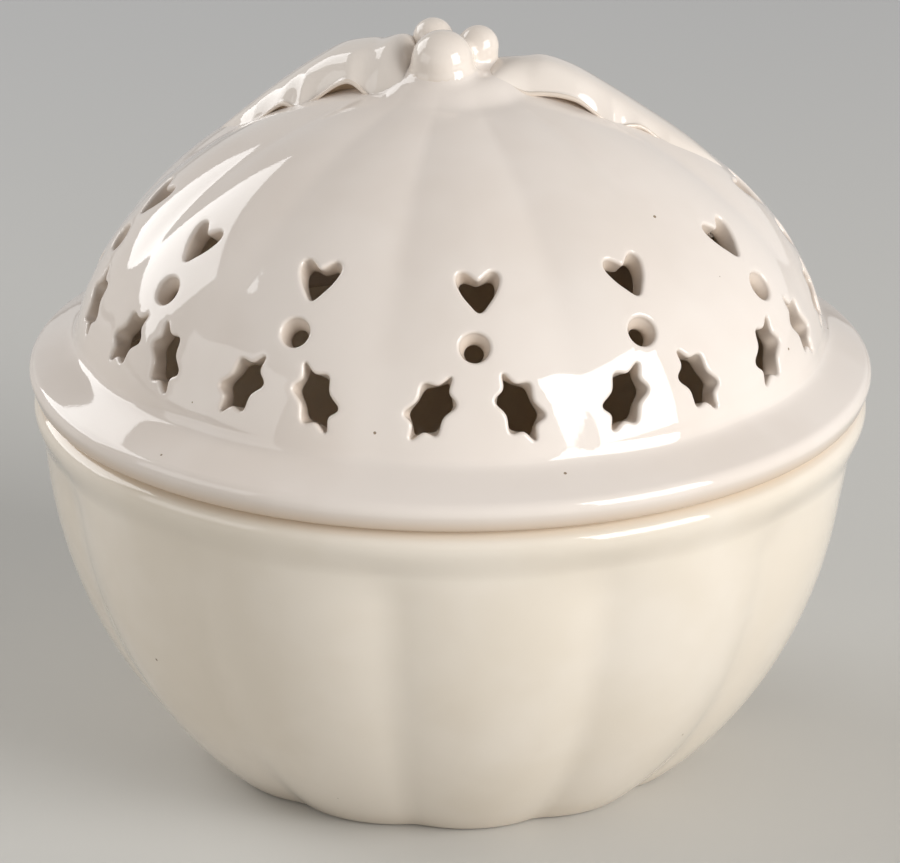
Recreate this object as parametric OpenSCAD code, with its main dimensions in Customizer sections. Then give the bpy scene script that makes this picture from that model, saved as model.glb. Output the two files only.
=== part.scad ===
// Lidded potpourri vase: a lobed bowl and a domed, pierced lid with a holly sprig on its crown.
// Millimetres, +Z up. The origin is the middle of the base, on the table.

/* [Bowl] */
// Height of the bowl, up to the seat of the lid
bowl_h = 79; // [65:1:95]
// Diameter over the plain collar under the lid
collar_d = 170; // [150:1:190]
// Height of the collar
collar_h = 4; // [3.7:0.1:8]
// How far the collar stands out from the wall below it
collar_step = 1.8; // [1:0.1:3]
// Rounding of the rim's outer edge
rim_round = 3.4; // [1:0.1:3.6]
// Diameter of the foot, over the lobes
foot_d = 98; // [86:1:112]
// Rounding of the foot's edge
foot_round = 3; // [1:0.5:5]
// Width of the ring that stands on the table
foot_ring = 7; // [5:0.5:12]
// Depth of the recess under the base
foot_recess = 2.5; // [1:0.5:4]
// Thickness of the bowl's wall
bowl_wall = 4.5; // [3:0.5:7]
// Thickness of the bowl's floor over the recess
floor_t = 5; // [3:0.5:8]

/* [Lobes] */
// Number of lobes, and of pierced groups
lobes = 12; // [9:1:15]
// Depth of the valleys between the bowl's lobes
bowl_lobe = 2.2; // [0.5:0.1:3.5]
// Depth of the valleys between the lid's lobes
lid_lobe = 1.3; // [0.3:0.1:2]
// Angle that the bowl's lobes are turned from the lid's
bowl_turn = 2.5; // [-10:0.5:10]

/* [Lid] */
// How far the lid's flange overhangs the collar
flange_over = 1; // [0:0.5:3]
// Thickness of the flange's rounded edge
flange_t = 6.8; // [5:0.2:8]
// Width of the flange, from the foot of the dome to its edge
flange_w = 9; // [7:0.5:12]
// Height of the dome's springing line over the seat
dome_spring = 6; // [5:0.5:9]
// Height of the dome over its springing line
dome_h = 58.5; // [50:0.5:70]
// Fullness of the dome: 2 is an ellipse, less is more pointed
dome_full = 1.85; // [1.7:0.05:2.2]
// Thickness of the lid's wall
lid_wall = 4; // [3:0.5:6]
// Depth of the locating lip inside the bowl's mouth
lip_depth = 5; // [3:0.5:9]
// Thickness of the locating lip
lip_wall = 3.7; // [2.5:0.1:6]
// Clearance round the locating lip
lip_gap = 0.8; // [0.4:0.1:1.5]

/* [Piercings] */
// Width of a heart
heart_w = 8.7; // [6:0.1:11]
// Height of a heart
heart_h = 9.6; // [7:0.1:12]
// Height of the hearts' middles over the seat
heart_level = 40.3; // [38:0.1:43]
// Diameter of a round hole
round_d = 6.1; // [4:0.1:8]
// Height of the round holes over the seat
round_level = 31.3; // [29:0.1:33]
// Length of a holly hole, tip to tip
holly_l = 14.8; // [10:0.1:17]
// Width of a holly hole over its spines
holly_w = 9.2; // [6:0.1:10]
// Height of the holly holes' middles over the seat
holly_level = 21; // [18:0.1:23]
// Sideways distance of a holly hole from the middle of its group
holly_side = 8.3; // [7:0.1:9]
// Lean of the holly holes towards the middle of the group
holly_lean = 27; // [0:1:40]
// Size of a heart or holly hole on the inside, as a share of its size outside
hole_taper = 0.92; // [0.6:0.02:1]
// Size of a round hole on the inside, as a share of its size outside
round_taper = 0.76; // [0.6:0.02:1]

/* [Sprig] */
// Diameter of the flat pad that the berries sit on
pad_d = 21.6; // [18:0.2:28]
// Height of the pad over the crown of the dome
pad_h = 2.1; // [1:0.1:4]
// Width of the fillet round the pad
pad_fillet = 2.4; // [1:0.1:4]
// Diameter of the front berry
berry_front_d = 12.7; // [9:0.1:14]
// Diameter of the right berry
berry_right_d = 8.6; // [6:0.1:10]
// Diameter of the back berry
berry_back_d = 8.2; // [6:0.1:10]
// Depth that the front berry is pressed into the pad
berry_front_sink = 3.9; // [1:0.1:5]
// Depth that the right berry is pressed into the pad
berry_right_sink = 1; // [0.4:0.1:2]
// Depth that the back berry is pressed into the pad
berry_back_sink = 0.3; // [0.2:0.1:2]
// Gap between the front berry and the right one
berry_right_gap = 0.2; // [0.1:0.1:1]
// Gap between the front berry and the back one
berry_back_gap = 1.7; // [0.1:0.1:2]
// Distance of a leaf's stem from the axis
leaf_in = 10; // [9.5:0.1:14]
// Length of a leaf in plan, from stem to tip
leaf_l = 36; // [28:0.5:42]
// Width of a leaf over its spines
leaf_w = 17; // [12:0.5:20]
// Height of the left leaf's ridge over its edge
leaf_left_h = 7.8; // [3:0.1:9]
// Height of the right leaf's ridge over its edge
leaf_right_h = 6.8; // [3:0.1:9]
// Thickness of a leaf's edge
leaf_t = 1.6; // [1:0.1:2.5]
// Height that the edge lifts off the dome between two spines
leaf_lift = 1.8; // [0.5:0.1:3]
// Depth of the scallops between the spines
leaf_scallop = 2; // [0.5:0.1:3]
// Gap between a leaf's spines and the dome
leaf_gap = 0.2; // [0.1:0.1:0.5]

/* [Hidden] */

glaze = [0.90, 0.86, 0.79];
glaze_warm = [0.93, 0.89, 0.82];

// Lobes: columns round a ring, with one column in each valley
pitch = 360 / lobes;
lobe_steps = 5;
columns = lobes * lobe_steps;

// Bowl: the wall is part of an ellipse whose widest level is the underside of the collar,
// and its lobes fade in below that
collar_r = collar_d / 2;
wall_r = collar_r - collar_step;
wall_z = bowl_h - collar_h;
foot_r = foot_d / 2;
wall_b = wall_z / sqrt(1 - pow(foot_r / wall_r, 2));
mouth_r = wall_r - bowl_wall;
recess_r = foot_r - foot_round - bowl_lobe - foot_ring;
floor_z = foot_recess + floor_t;
step_drop = 2 * collar_step;
lobe_fade = 11;
floor_shares = [0.6, 0.85];
wall_rows = 8;

// Lid
flange_r = collar_r + flange_over;
edge_r = flange_t / 2;
dome_r = flange_r - flange_w;
spring_z = bowl_h + dome_spring;
crown_z = spring_z + dome_h;
lip_r = mouth_r - lip_gap;

// Angles of the rows of points down the dome, outside and inside, and of the flange's top edge
dome_rows = [76:-8:12];
inside_rows = [8:10:78];
edge_top = 65;
edge_steps = 5;

// Cove from the dome to the flange: where it leaves the dome, and the pulls of its curve
// from the springing point
cove_z = spring_z + 8;
cove_pull = [-0.7, 2.2];
flange_pull = [3.2, 1.6];

// Outlines of the holes, as shares of their sizes
heart_lobe = 0.56;
heart_tip_r = 0.4;
holly_spines = [0.22, -0.24];
holly_hollow = 0.44;
holly_steps = 3;

// How far a cut reaches under and over the outside of the dome
cut_deep = 1.6 * lid_wall;
cut_out = 0.8 * lid_wall;

// Sprig
pad_z = crown_z + pad_h;
pad_r = pad_d / 2;
pad_foot_r = pad_r + pad_fillet;
leaf_left_turn = -112;
leaf_right_turn = 84;
leaf_spines = [0.08, 0.54, 0.82, 1];
leaf_widest = 0.35;
leaf_tip = 0.06;
leaf_bend = 2.2;
leaf_fall = 1.3;
leaf_rise = 0.12;
leaf_stem = 0.3;
leaf_steps = 5;
leaf_sides = 4;
front_berry_at = [-2.3, -3.9];
right_berry_turn = 135;
back_berry_turn = 179;

// Position in a lobe: 0 on its crest, 1 in the valley
function lobe_pos(a) = 2 * abs(a / pitch - round(a / pitch));

// One ring of points; a station is [radius on the crest, height, depth of the valleys]
function ring(station, turn) = [
    for (i = [0:columns - 1])
        let (a = (i + lobe_steps / 2) * 360 / columns)
        let (r = station[0] - station[2] * pow(lobe_pos(a), 2))
        [r * sin(a + turn), -r * cos(a + turn), station[1]]
];

// Lobed shell through a row of stations, closed on the axis at both ends
module lobed_shell(stations, first_z, last_z, turn = 0) {
    rows = len(stations);
    first = rows * columns;
    last = first + 1;
    points = concat([for (s = stations) each ring(s, turn)], [[0, 0, first_z], [0, 0, last_z]]);
    sides = [
        for (k = [0:rows - 2], i = [0:columns - 1])
            let (j = (i + 1) % columns)
            let (a = k * columns + i, b = a + columns, c = b - i + j, d = a - i + j)
            each [[a, d, c], [a, c, b]]
    ];
    caps = [
        for (i = [0:columns - 1])
            let (j = (i + 1) % columns, end = (rows - 1) * columns)
            each [[first, j, i], [last, end + i, end + j]]
    ];
    polyhedron(points, concat(sides, caps), convexity = 8);
}

function smooth(x) = let (t = max(0, min(1, x))) t * t * (3 - 2 * t);
function bezier(a, b, c, d, t) =
    pow(1 - t, 3) * a + 3 * t * pow(1 - t, 2) * b + 3 * t * t * (1 - t) * c + pow(t, 3) * d;

// Radius of the bowl's wall at a height, with its foot and its collar left off
function wall_at(z) = wall_r * sqrt(1 - pow((wall_z - z) / wall_b, 2));
function wall_lobe(z) = bowl_lobe * smooth((wall_z - z) / lobe_fade);

// Outside of the bowl, from the collar down to the foot
function bowl_outside() = concat(
    [for (a = [90:-30:0]) [
        collar_r - rim_round + rim_round * cos(a),
        bowl_h - rim_round + rim_round * sin(a),
        0
    ]],
    [for (t = [0:0.25:1]) let (z = wall_z - step_drop * t)
        [wall_at(z) + collar_step * (1 - smooth(t)), z, wall_lobe(z)]],
    [for (k = [1:wall_rows]) let (
        z = wall_z - step_drop - (wall_z - step_drop - foot_round) * k / wall_rows
    ) [wall_at(z), z, wall_lobe(z)]],
    [for (a = [45, 90]) [
        wall_at(foot_round) - foot_round * (1 - cos(a)),
        foot_round * (1 - sin(a)),
        bowl_lobe
    ]]
);

// Inside of the bowl, from the floor up to the mouth
function bowl_inside() = concat(
    [for (share = floor_shares) [(wall_at(floor_z) - bowl_wall) * share, floor_z, 0]],
    [for (k = [0:wall_rows - 1]) let (
        z = floor_z + bowl_wall / 2 + (wall_z - floor_z - bowl_wall / 2) * k / (wall_rows - 1)
    ) [wall_at(z) - bowl_wall, z, wall_lobe(z) / 2]],
    [[mouth_r, bowl_h, 0]]
);

module bowl() {
    color(glaze)
        difference() {
            lobed_shell(concat(bowl_inside(), bowl_outside()), floor_z, 0, bowl_turn);
            translate([0, 0, -1]) cylinder(r = recess_r, h = foot_recess + 1, $fn = 96);
        }
}

// Dome: a superellipse; grow is the offset from the outside
function dome_at(z, grow = 0) =
    (dome_r + grow) * pow(1 - pow((z - spring_z) / (dome_h + grow), dome_full), 1 / dome_full);
function dome_z(r) = spring_z + dome_h * pow(1 - pow(r / dome_r, dome_full), 1 / dome_full);
function dome_point(t, grow) = [
    (dome_r + grow) * pow(cos(t), 2 / dome_full),
    spring_z + (dome_h + grow) * pow(sin(t), 2 / dome_full)
];
function dome_lobe(r) = lid_lobe * smooth((r - pad_foot_r) / (dome_r / 2));

// Direction of the dome's outward normal, as an angle over the horizontal
function dome_tilt(z) = atan2(dome_at(z - 0.5) - dome_at(z + 0.5), 1);

// Point on the flange's rounded edge
function edge_point(a) = [flange_r - edge_r + edge_r * cos(a), bowl_h + edge_r + edge_r * sin(a)];

// Outside of the lid, from the pad on its crown to the seat on the bowl
function lid_outside() = concat(
    [[pad_r - pad_h / 4, pad_z, 0]],
    [for (t = [0.2:0.4:1]) let (r = pad_r + pad_fillet * t) [r, fillet_z(r), 0]],
    [for (t = dome_rows) let (p = dome_point(t, 0)) [p[0], p[1], dome_lobe(p[0])]],
    [for (t = [0:0.2:1]) let (
        top = edge_point(edge_top),
        cove = [dome_at(cove_z), cove_z],
        spring = [dome_r, spring_z],
        p = bezier(cove, spring + cove_pull, spring + flange_pull, top, t)
    ) [p[0], p[1], dome_lobe(dome_r) * pow(1 - t, 2)]],
    [for (k = [1:edge_steps]) concat(edge_point(edge_top - (edge_top + 90) * k / edge_steps), 0)]
);

// Inside of the lid, from the locating lip up to the crown
function lid_inside() = concat(
    [[lip_r, bowl_h, 0], [lip_r, bowl_h - lip_depth, 0], [lip_r - lip_wall, bowl_h - lip_depth, 0]],
    [[lip_r - lip_wall, bowl_h, 0]],
    [for (t = inside_rows) let (p = dome_point(t, -lid_wall)) [p[0], p[1], dome_lobe(p[0])]]
);

// Heart, with its middle at the origin and its point down
module heart() {
    lobe_d = heart_w * heart_lobe;
    for (side = [-1, 1])
        hull() {
            translate([side * (heart_w - lobe_d) / 2, (heart_h - lobe_d) / 2]) circle(d = lobe_d, $fn = 14);
            translate([0, heart_tip_r - heart_h / 2]) circle(r = heart_tip_r, $fn = 6);
        }
}

// Holly leaf with a tip at each end and two spines on each side, joined by hollow arcs
module holly_hole() {
    x = holly_w / 2;
    y = holly_l * holly_spines;
    tip = holly_l / 2;
    corners = [[0, tip], [x, y[0]], [x, y[1]], [0, -tip], [-x, y[1]], [-x, y[0]]];
    polygon([
        for (i = [0:5], k = [0:holly_steps - 1])
            let (a = corners[i], b = corners[(i + 1) % 6], m = (a + b) / 2 * (1 - holly_hollow))
            let (t = k / holly_steps)
            pow(1 - t, 2) * a + 2 * t * (1 - t) * m + t * t * b
    ]);
}

// Size of a tapered hole at a depth under the outside of the dome, as a share of its size there
function hole_share(depth, taper) = 1 - (1 - taper) * depth / lid_wall;

// Tapered cut through the dome's wall, square to it, at a height over the seat
module cut_at(level, side = 0, taper = hole_taper) {
    z = bowl_h + level;
    r = dome_at(z);
    rotate([0, 0, asin(side / r)])
        translate([0, -r, z])
            rotate([90 - dome_tilt(z), 0, 0])
                translate([0, 0, -cut_deep])
                    linear_extrude(
                        height = cut_deep + cut_out,
                        scale = hole_share(-cut_out, taper) / hole_share(cut_deep, taper)
                    ) scale(hole_share(cut_deep, taper)) children();
}

module pierced_group() {
    cut_at(heart_level) heart();
    cut_at(round_level, taper = round_taper) circle(d = round_d, $fn = 16);
    for (side = [-1, 1])
        cut_at(holly_level, side * holly_side) rotate([0, 0, side * holly_lean]) holly_hole();
}

module lid() {
    color(glaze)
        difference() {
            lobed_shell(concat(lid_outside(), lid_inside()), pad_z, crown_z - lid_wall);
            for (i = [0:lobes - 1])
                rotate([0, 0, i * pitch]) pierced_group();
        }
}

// Height of the crown under the sprig: the pad, its fillet and then the dome
function fillet_z(r) =
    dome_z(pad_foot_r) + (pad_z - dome_z(pad_foot_r)) * pow((pad_foot_r - r) / pad_fillet, 2);
function crown_at(r) = r < pad_r ? pad_z : r < pad_foot_r ? fillet_z(r) : dome_z(r);

// Scallop between two spines, 1 in the middle of the longest; x runs from 0 at the stem to 1 at the tip
function leaf_part(x) = x < leaf_spines[1] ? 0 : x < leaf_spines[2] ? 1 : 2;
function leaf_arc(x) = let (
        from = leaf_spines[leaf_part(x)],
        span = leaf_spines[leaf_part(x) + 1] - from,
        longest = leaf_spines[1] - leaf_spines[0],
        q = max(0, x - from) / span
    ) 4 * q * (1 - q) * span / longest;
function leaf_half(x) =
    let (off = abs(x - leaf_widest) / (1 - leaf_widest))
    leaf_w / 2 * (1 - (1 - leaf_tip) * pow(off, leaf_bend)) - leaf_scallop * leaf_arc(x);
function leaf_ridge(x, tall) =
    tall * pow(1 - x, leaf_fall) * (leaf_stem + (1 - leaf_stem) * smooth(x / leaf_rise));

// Point on a leaf; side runs from -1 to 1 across it, top is 1 on its back and 0 underneath
function leaf_point(x, side, top, turn, tall) =
    let (s = leaf_in + leaf_l * x, t = side * leaf_half(x))
    let (arch = 1 - pow(abs(side), leaf_bend), ridge = leaf_ridge(x, tall))
    let (hollow = max(0, ridge - leaf_t) * smooth(x / leaf_rise - 1))
    let (over = top == 1 ? leaf_t + ridge * arch : hollow * arch)
    [
        s * sin(turn) + t * cos(turn),
        -s * cos(turn) + t * sin(turn),
        crown_at(norm([s, t])) + leaf_gap + leaf_lift * leaf_arc(x) + over
    ];

// Hollow holly leaf that touches the dome at its spines
module leaf(turn, tall) {
    along = [
        0,
        for (k = [0:2], i = [0:leaf_steps - 1])
            leaf_spines[k] + (leaf_spines[k + 1] - leaf_spines[k]) * i / leaf_steps,
        1
    ];
    across = [for (j = [-leaf_sides:leaf_sides]) j / leaf_sides];
    rows = len(along);
    wide = len(across);
    under = rows * wide;
    points = [for (top = [1, 0], x = along, side = across) leaf_point(x, side, top, turn, tall)];
    skin = [
        for (i = [0:rows - 2], j = [0:wide - 2])
            let (a = i * wide + j, b = a + wide)
            each [
                [a, a + 1, b + 1], [a, b + 1, b],
                [under + a, under + b + 1, under + a + 1], [under + a, under + b, under + b + 1]
            ]
    ];
    edges = [
        for (i = [0:rows - 2])
            let (a = i * wide, b = a + wide, c = a + wide - 1, d = b + wide - 1)
            each [
                [a, b, under + b], [a, under + b, under + a],
                [d, c, under + c], [d, under + c, under + d]
            ]
    ];
    ends = [
        for (j = [0:wide - 2])
            let (a = j, b = (rows - 1) * wide + j)
            each [
                [a + 1, a, under + a], [a + 1, under + a, under + a + 1],
                [b, b + 1, under + b + 1], [b, under + b + 1, under + b]
            ]
    ];
    polyhedron(points, concat(skin, edges, ends), convexity = 6);
}

module leaf_left() {
    color(glaze_warm) leaf(leaf_left_turn, leaf_left_h);
}

module leaf_right() {
    color(glaze_warm) leaf(leaf_right_turn, leaf_right_h);
}

// Place of a small berry beside the front one
function beside(d, gap, turn) =
    front_berry_at + ((berry_front_d + d) / 2 + gap) * [sin(turn), -cos(turn)];

// Berry pressed onto the pad
module berry(d, sink, at) {
    intersection() {
        translate([at[0], at[1], pad_z + d / 2 - sink]) sphere(d = d, $fn = 48);
        translate([at[0] - d, at[1] - d, pad_z]) cube([2 * d, 2 * d, d]);
    }
}

module berry_front() {
    color(glaze_warm) berry(berry_front_d, berry_front_sink, front_berry_at);
}

module berry_right() {
    at = beside(berry_right_d, berry_right_gap, right_berry_turn);
    color(glaze_warm) berry(berry_right_d, berry_right_sink, at);
}

module berry_back() {
    at = beside(berry_back_d, berry_back_gap, back_berry_turn);
    color(glaze_warm) berry(berry_back_d, berry_back_sink, at);
}

bowl();
lid();
leaf_left();
leaf_right();
berry_front();
berry_right();
berry_back();
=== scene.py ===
import math

import bmesh
import bpy
import numpy as np
from mathutils import Matrix, Vector
from mathutils.geometry import delaunay_2d_cdt


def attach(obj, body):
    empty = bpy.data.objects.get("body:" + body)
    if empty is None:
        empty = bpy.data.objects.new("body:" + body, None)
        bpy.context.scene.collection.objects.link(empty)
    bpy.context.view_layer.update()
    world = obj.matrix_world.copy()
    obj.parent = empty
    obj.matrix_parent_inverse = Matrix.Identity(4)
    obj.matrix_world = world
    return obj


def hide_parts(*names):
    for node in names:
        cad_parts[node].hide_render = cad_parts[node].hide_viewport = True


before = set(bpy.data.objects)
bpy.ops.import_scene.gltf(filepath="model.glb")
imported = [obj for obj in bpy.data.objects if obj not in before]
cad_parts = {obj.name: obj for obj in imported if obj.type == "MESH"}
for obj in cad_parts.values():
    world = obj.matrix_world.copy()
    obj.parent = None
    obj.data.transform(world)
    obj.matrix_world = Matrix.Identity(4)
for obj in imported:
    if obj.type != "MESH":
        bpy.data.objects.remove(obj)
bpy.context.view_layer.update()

MM = 0.001

# Points closer than this are joined, in millimetres
WELD = 0.005

# Lobes, which run round the bowl and the lid; angles run from the front (-Y) towards +X
LOBES = 12
PITCH = 2 * math.pi / LOBES
LOBE_COLUMNS = 32
COLUMNS = LOBES * LOBE_COLUMNS
RING = np.arange(COLUMNS) * 2 * math.pi / COLUMNS

# Bowl, in millimetres: collar and the bead along its upper edge
BOWL_H = 79.0
RIM_Z = BOWL_H - 0.02
COLLAR_R = 85.0
COLLAR_H = 4.0
COLLAR_STEP = 1.8
COLLAR_RUN = 7.5
BEAD_Z = BOWL_H - 3.7
BEAD_ROUND = 2.6
# Foot, with the ring that it stands on and the recess inside that
FOOT_R = 49.0
FOOT_ROUND = 3.0
FOOT_RING = 7.0
FOOT_RECESS = 2.5
RECESS_ROUND = 1.0
# Wall, an ellipse that narrows to the foot, and the inside
BOWL_WALL = 4.5
WALL_R = COLLAR_R - COLLAR_STEP
WALL_Z = BOWL_H - COLLAR_H
WALL_B = WALL_Z / math.sqrt(1 - (FOOT_R / WALL_R) ** 2)
MOUTH_R = WALL_R - BOWL_WALL
MOUTH_ROUND = 1.0
FLOOR_T = 5.0
FLOOR_Z = FOOT_RECESS + FLOOR_T
FLOOR_ROUND = 3.0
# Lobes of the bowl, turned a little against the lid's
BOWL_LOBE = 2.2
LOBE_FADE = 14.0
BOWL_VALLEY = 0.16
BOWL_FULL = 2.0
BOWL_TURN = math.radians(2.5)

# Lid, in millimetres: the flange's edge, rounded from so many degrees up, and the round under it
FLANGE_R = COLLAR_R + 0.86
EDGE_R = 2.6
EDGE_Z = BOWL_H + 3.7
EDGE_TOP = 61.0
UNDER_ROUND = 0.87
UNDER_R = FLANGE_R - 1.75
UNDER_Z = BOWL_H + 0.9
# Dome; a power of 2 would make it an ellipse, and beyond the steep radius its section goes by height
DOME_R = FLANGE_R - 9.0
SPRING_Z = BOWL_H + 6.0
DOME_H = 58.5
DOME_FULL = 1.85
STEEP_R = 0.8 * DOME_R
LID_WALL = 4.0
# Cove between dome and flange: how its curve leaves the dome, and how far it follows the flange's slope
COVE_Z = SPRING_Z + 5.2
COVE_LEAVES = np.array([0.25, -1.5])
COVE_LAND = 6.4
COVE_FADE = 1.6
# Pad under the sprig
PAD_R = 9.0
PAD_Z = SPRING_Z + DOME_H + 2.1
PAD_FOOT_R = 17.0
# Lobes of the lid, which grow out of the pad and get shallower beyond the drop radius
LID_LOBE = 1.85
LID_VALLEY = 0.155
LID_FULL = 1.8
LOBE_START_R = PAD_R + 1.5
LOBE_GROWTH = 16.0
LOBE_DROP_R = 51.0
LOBE_DROP = 0.667
# Locating lip, and the run above the seat that is warmed and darkened: pooled glaze, and painted shade under
# the flange's edge
LIP_R = MOUTH_R - 0.8
LIP_WALL = 3.7
LIP_DEPTH = 5.0
LIP_CORNER = 1.2
POOL_AND_SHADE_RUN = 4.5
SECTION_STEP = 0.2


def smooth(x):
    """Soft step from 0 to 1."""
    t = np.clip(x, 0, 1)
    return t * t * (3 - 2 * t)


def place(radius, angle, height):
    """Points at a radius and height, at an angle from the front."""
    radius, angle, height = np.broadcast_arrays(radius, angle, height)
    return np.stack([radius * np.sin(angle), -radius * np.cos(angle), height], -1)


def lobe_dip(angle, valley, full):
    """Share of the lobes' depth, 0 on a crest: a higher power makes a fuller lobe, and the rounding of the
    valley is a share of the half lobe."""
    u = 2 * np.abs(angle / PITCH - np.round(angle / PITCH))
    start, past = 1 - valley, u - 1 + valley
    rounded = start ** full + full * start ** (full - 1) * (past - past ** 2 / (2 * valley))
    return np.where(past < 0, u ** full, rounded)


def arc(middle_r, middle_z, radius, start, end, count):
    """Points on an arc in a profile, angles in degrees over the horizontal."""
    a = np.radians(np.linspace(start, end, count))
    return np.stack([middle_r + radius * np.cos(a), middle_z + radius * np.sin(a)], -1)


def evenly(line, step):
    """The same line with points an even step apart."""
    run = np.concatenate([[0], np.cumsum(np.linalg.norm(np.diff(line, axis=0), axis=1))])
    at = np.linspace(0, run[-1], max(2, int(round(run[-1] / step)) + 1))
    return np.stack([np.interp(at, run, line[:, i]) for i in range(line.shape[1])], -1)


def eased(line, rounds):
    """The same line with its bends eased and its ends kept."""
    line = line.copy()
    for _ in range(rounds):
        line[1:-1] = line[1:-1] / 2 + (line[:-2] + line[2:]) / 4
    return line


def eased_loop(line, rounds):
    """The same closed line with its bends eased."""
    for _ in range(rounds):
        line = line / 2 + (np.roll(line, 1, 0) + np.roll(line, -1, 0)) / 4
    return line


class Clay:
    """Points and faces of one piece in millimetres, with a share at each point that warms and darkens its
    glaze: pooled glaze, and painted shade in creases, recesses and under overhangs.
    """

    def __init__(self):
        self.points, self.warm, self.faces, self.finish = [], [], [], []
        self.count = 0

    def add(self, points, warm):
        """Adds points and returns the number of the first."""
        points = np.asarray(points, float).reshape(-1, 3)
        self.points.append(points)
        self.warm.append(np.broadcast_to(np.asarray(warm, float).ravel(), len(points)))
        self.count += len(points)
        return self.count - len(points)

    def face(self, *corners, finish=0):
        """Adds a face by the numbers of its corners."""
        self.faces.append(corners)
        self.finish.append(finish)

    def rings(self, grid, warm, finish=0, inward=False):
        """Closed rings of points, one after the other; returns the first and last ring's first point. The
        share of pooled glaze and painted shade is one value, or one for each ring or point. The faces of a
        hole look inward."""
        rows, columns = grid.shape[:2]
        finish = np.broadcast_to(finish, rows)
        first = self.add(grid, np.repeat(warm, columns) if np.ndim(warm) == 1 else warm)
        for k in range(rows - 1):
            a, b = first + k * columns, first + (k + 1) * columns
            for i in range(columns):
                j = (i + 1) % columns
                corners = (a + i, a + j, b + j, b + i) if inward else (a + i, b + i, b + j, a + j)
                self.face(*corners, finish=int(finish[k]))
        return first, first + (rows - 1) * columns

    def cap(self, ring, columns, middle, warm, up, finish=0):
        """Fan that closes a ring at its middle."""
        c = self.add([middle], warm)
        for i in range(columns):
            j = (i + 1) % columns
            self.face(*((c, ring + i, ring + j) if up else (c, ring + j, ring + i)), finish=finish)

    def piece(self, name, *finishes):
        """Mesh object of the piece, smooth all over."""
        mesh = bpy.data.meshes.new(name)
        mesh.from_pydata((np.concatenate(self.points) * MM).tolist(), [], self.faces)
        mesh.attributes.new("warm", "FLOAT", "POINT").data.foreach_set("value", np.concatenate(self.warm))
        for finish in finishes:
            mesh.materials.append(finish)
        mesh.polygons.foreach_set("material_index", self.finish)
        mesh.polygons.foreach_set("use_smooth", [True] * len(mesh.polygons))
        work = bmesh.new()
        work.from_mesh(mesh)
        bmesh.ops.remove_doubles(work, verts=work.verts, dist=WELD * MM)
        work.to_mesh(mesh)
        work.free()
        piece = bpy.data.objects.new(name, mesh)
        bpy.context.scene.collection.objects.link(piece)
        return piece


# Finishes

def new_group(name, inputs, outputs):
    """Empty shader node group with its sockets, and its two end nodes."""
    group = bpy.data.node_groups.new(name, "ShaderNodeTree")
    for direction, sockets in (("INPUT", inputs), ("OUTPUT", outputs)):
        for label, kind, value in sockets:
            socket = group.interface.new_socket(label, in_out=direction, socket_type="NodeSocket" + kind)
            if value is not None:
                socket.default_value = value
    return group, group.nodes.new("NodeGroupInput"), group.nodes.new("NodeGroupOutput")


def feed(tree, socket, value):
    """Gives an input a link from a socket, or a plain value."""
    if isinstance(value, bpy.types.NodeSocket):
        tree.links.new(value, socket)
    else:
        socket.default_value = value


def node(tree, kind, links=None, **settings):
    """Node with its settings; links gives a value or a socket for each named input."""
    made = tree.nodes.new("ShaderNode" + kind)
    for key, value in settings.items():
        setattr(made, key, value)
    for key, value in (links or {}).items():
        feed(tree, made.inputs[key], value)
    return made


def colour(red, green, blue):
    """Linear colour from one given in 0 to 255, as a picture shows it."""
    def linear(c):
        c /= 255
        return c / 12.92 if c <= 0.04045 else ((c + 0.055) / 1.055) ** 2.4
    return (linear(red), linear(green), linear(blue), 1.0)


def ramp(tree, value, low, high):
    """Value spread from 0 at low to 1 at high."""
    spread = {"Value": value, "From Min": low, "From Max": high}
    return node(tree, "MapRange", spread, interpolation_type="SMOOTHSTEP").outputs["Result"]


def mixed(tree, share, first, second):
    """Colour between two, by the share of the second; a mix node's colours are its sockets 6, 7 and 2."""
    return node(tree, "Mix", {0: share, 6: first, 7: second}, data_type="RGBA").outputs[2]


def make_glaze_tone():
    """Colour of the glaze: cloudy over the piece, and warmer and darker by a share that stands for pooled
    glaze and also paints shade in creases, recesses and under overhangs.
    """
    group, start, end = new_group(
        "glaze_tone",
        [("Glaze", "Color", None), ("Cloud", "Color", None), ("Pooled", "Color", None),
         ("Warm", "Float", 0.0), ("Cloud Scale", "Float", 30.0)],
        [("Colour", "Color", None)],
    )
    place_on = node(group, "TexCoord").outputs["Object"]
    clouds = node(group, "TexNoise", {"Vector": place_on, "Scale": start.outputs["Cloud Scale"],
                                      "Detail": 3.0, "Roughness": 0.55})
    share = ramp(group, clouds.outputs["Fac"], 0.38, 0.66)
    cloudy = mixed(group, share, start.outputs["Glaze"], start.outputs["Cloud"])
    toned = mixed(group, start.outputs["Warm"], cloudy, start.outputs["Pooled"])
    group.links.new(toned, end.inputs["Colour"])
    return group


def make_glaze_specks():
    """Sparse iron specks and pinholes in the glaze."""
    group, start, end = new_group(
        "glaze_specks",
        [("Scale", "Float", 160.0), ("Size", "Float", 0.06), ("Share", "Float", 0.1)],
        [("Specks", "Float", None)],
    )
    place_on = node(group, "TexCoord").outputs["Object"]
    cells = node(group, "TexVoronoi", {"Vector": place_on, "Scale": start.outputs["Scale"],
                                       "Randomness": 1.0})
    chosen = node(group, "SeparateColor", {"Color": cells.outputs["Color"]})
    few = node(group, "Math", {0: chosen.outputs["Red"], 1: start.outputs["Share"]}, operation="LESS_THAN")
    size = node(group, "Math", {0: chosen.outputs["Green"], 1: start.outputs["Size"]}, operation="MULTIPLY")
    near = node(group, "Math", {0: cells.outputs["Distance"], 1: size.outputs[0]}, operation="LESS_THAN")
    both = node(group, "Math", {0: few.outputs[0], 1: near.outputs[0]}, operation="MULTIPLY")
    group.links.new(both.outputs[0], end.inputs["Specks"])
    return group


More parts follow.
